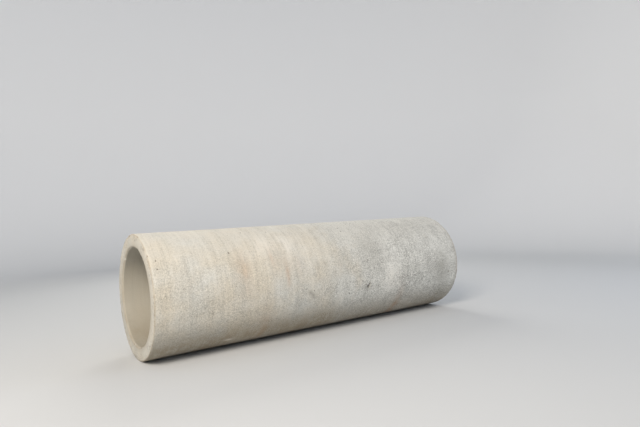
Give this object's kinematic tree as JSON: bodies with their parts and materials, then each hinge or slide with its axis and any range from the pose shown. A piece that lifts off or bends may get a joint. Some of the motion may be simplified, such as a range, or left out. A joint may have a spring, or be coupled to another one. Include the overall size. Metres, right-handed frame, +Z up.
{
  "type": "concrete culvert pipe",
  "caption": "Plain-ended reinforced concrete culvert pipe, a straight thick-walled cylinder lying on its side.",
  "frame": {"origin": "on the floor under the middle of the pipe, at the centre of its lowest line", "axes": "+X along the pipe's axis, +Z up; the pipe lies on its side as in the picture"},
  "size_m": [2.5, 0.77, 0.77],
  "materials": {
    "concrete": "matt"
  },
  "bodies": {
    "root": {"culvert_pipe": "concrete"}
  },
  "joints": []
}
